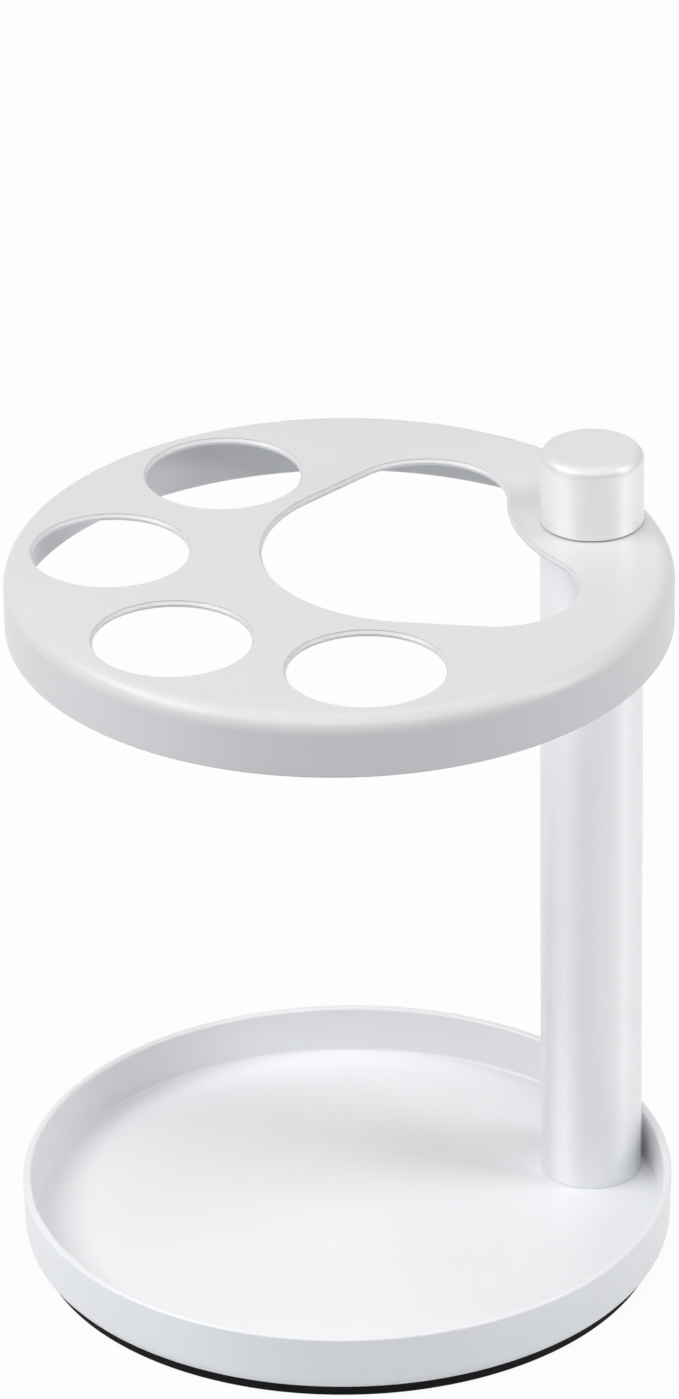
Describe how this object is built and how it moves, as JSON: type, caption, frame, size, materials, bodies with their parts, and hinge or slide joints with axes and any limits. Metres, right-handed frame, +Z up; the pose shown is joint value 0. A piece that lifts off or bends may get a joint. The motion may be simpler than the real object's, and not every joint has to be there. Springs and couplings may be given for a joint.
{
  "type": "toothbrush holder",
  "caption": "Round tray and top plate on an off-centre post, with holes that hold toothbrushes upright, an opening for a toothpaste tube, and a screw-down cap.",
  "frame": {"origin": "centre of the foot pad's underside, on the surface that the holder stands on", "axes": "+Z up, +Y towards the post at the back, +X to the right seen from the front"},
  "size_m": [0.11, 0.11, 0.141],
  "materials": {
    "powder_coat": "white satin powder coat",
    "foam": "black matt foam",
    "steel": "zinc-plated steel",
    "nylon": "natural nylon"
  },
  "bodies": {
    "holder": {"base_pad": "foam", "base_tray": "powder_coat", "top_plate": "powder_coat", "post_tube": "powder_coat", "upper_plug": "steel", "lower_plug": "steel", "plate_pin": "steel", "tray_pin": "steel", "base_screw": "steel"},
    "washer": {"cap_washer": "nylon"},
    "cap": {"post_cap": "powder_coat", "cap_stud": "steel"}
  },
  "joints": [
    {"name": "cap_lift", "type": "slide", "parent": "holder", "child": "washer", "axis": [0, 0, 1], "range_m": [0, 0.009]},
    {"name": "cap_turn", "type": "hinge", "parent": "washer", "child": "cap", "pos_m": [0, 0.04405, 0.1288], "axis": [0, 0, 1], "range_deg": [0, 3240]}
  ],
  "couplings": [
    {"joint": "cap_lift", "follows": "cap_turn", "m_per_rad": 0.00015915}
  ]
}
